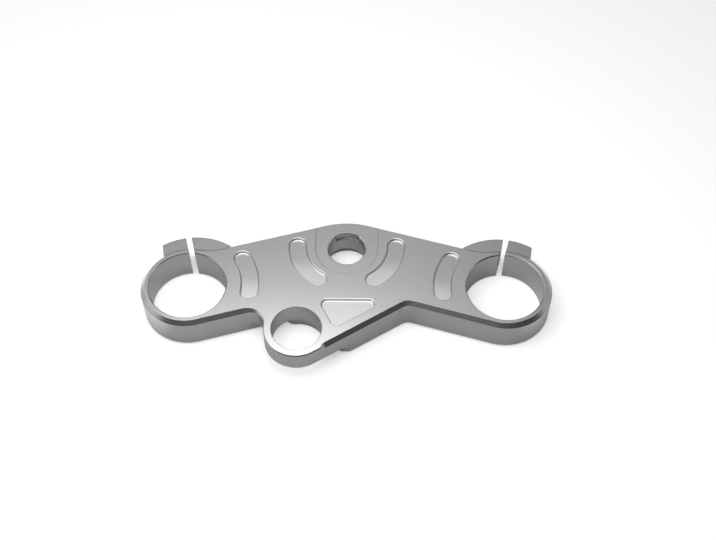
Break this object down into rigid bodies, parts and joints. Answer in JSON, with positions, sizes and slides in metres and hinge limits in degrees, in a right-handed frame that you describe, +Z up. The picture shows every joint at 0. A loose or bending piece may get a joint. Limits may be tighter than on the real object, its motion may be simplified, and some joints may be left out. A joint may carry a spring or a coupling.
{
  "type": "motorcycle triple clamp",
  "caption": "Billet aluminium top triple clamp for a motorcycle's front fork, with split fork clamps, a steering stem bore and an offset ignition switch lobe.",
  "frame": {"origin": "centre of the recess round the steering stem bore, at the underside", "axes": "+X across the motorcycle towards the fork bore away from the switch lobe, +Y towards the rider, +Z up out of the top face"},
  "size_m": [0.2658, 0.1067, 0.0235],
  "materials": {
    "billet_aluminium": "satin anodised"
  },
  "bodies": {
    "root": {"top_clamp": "billet_aluminium"}
  },
  "joints": []
}
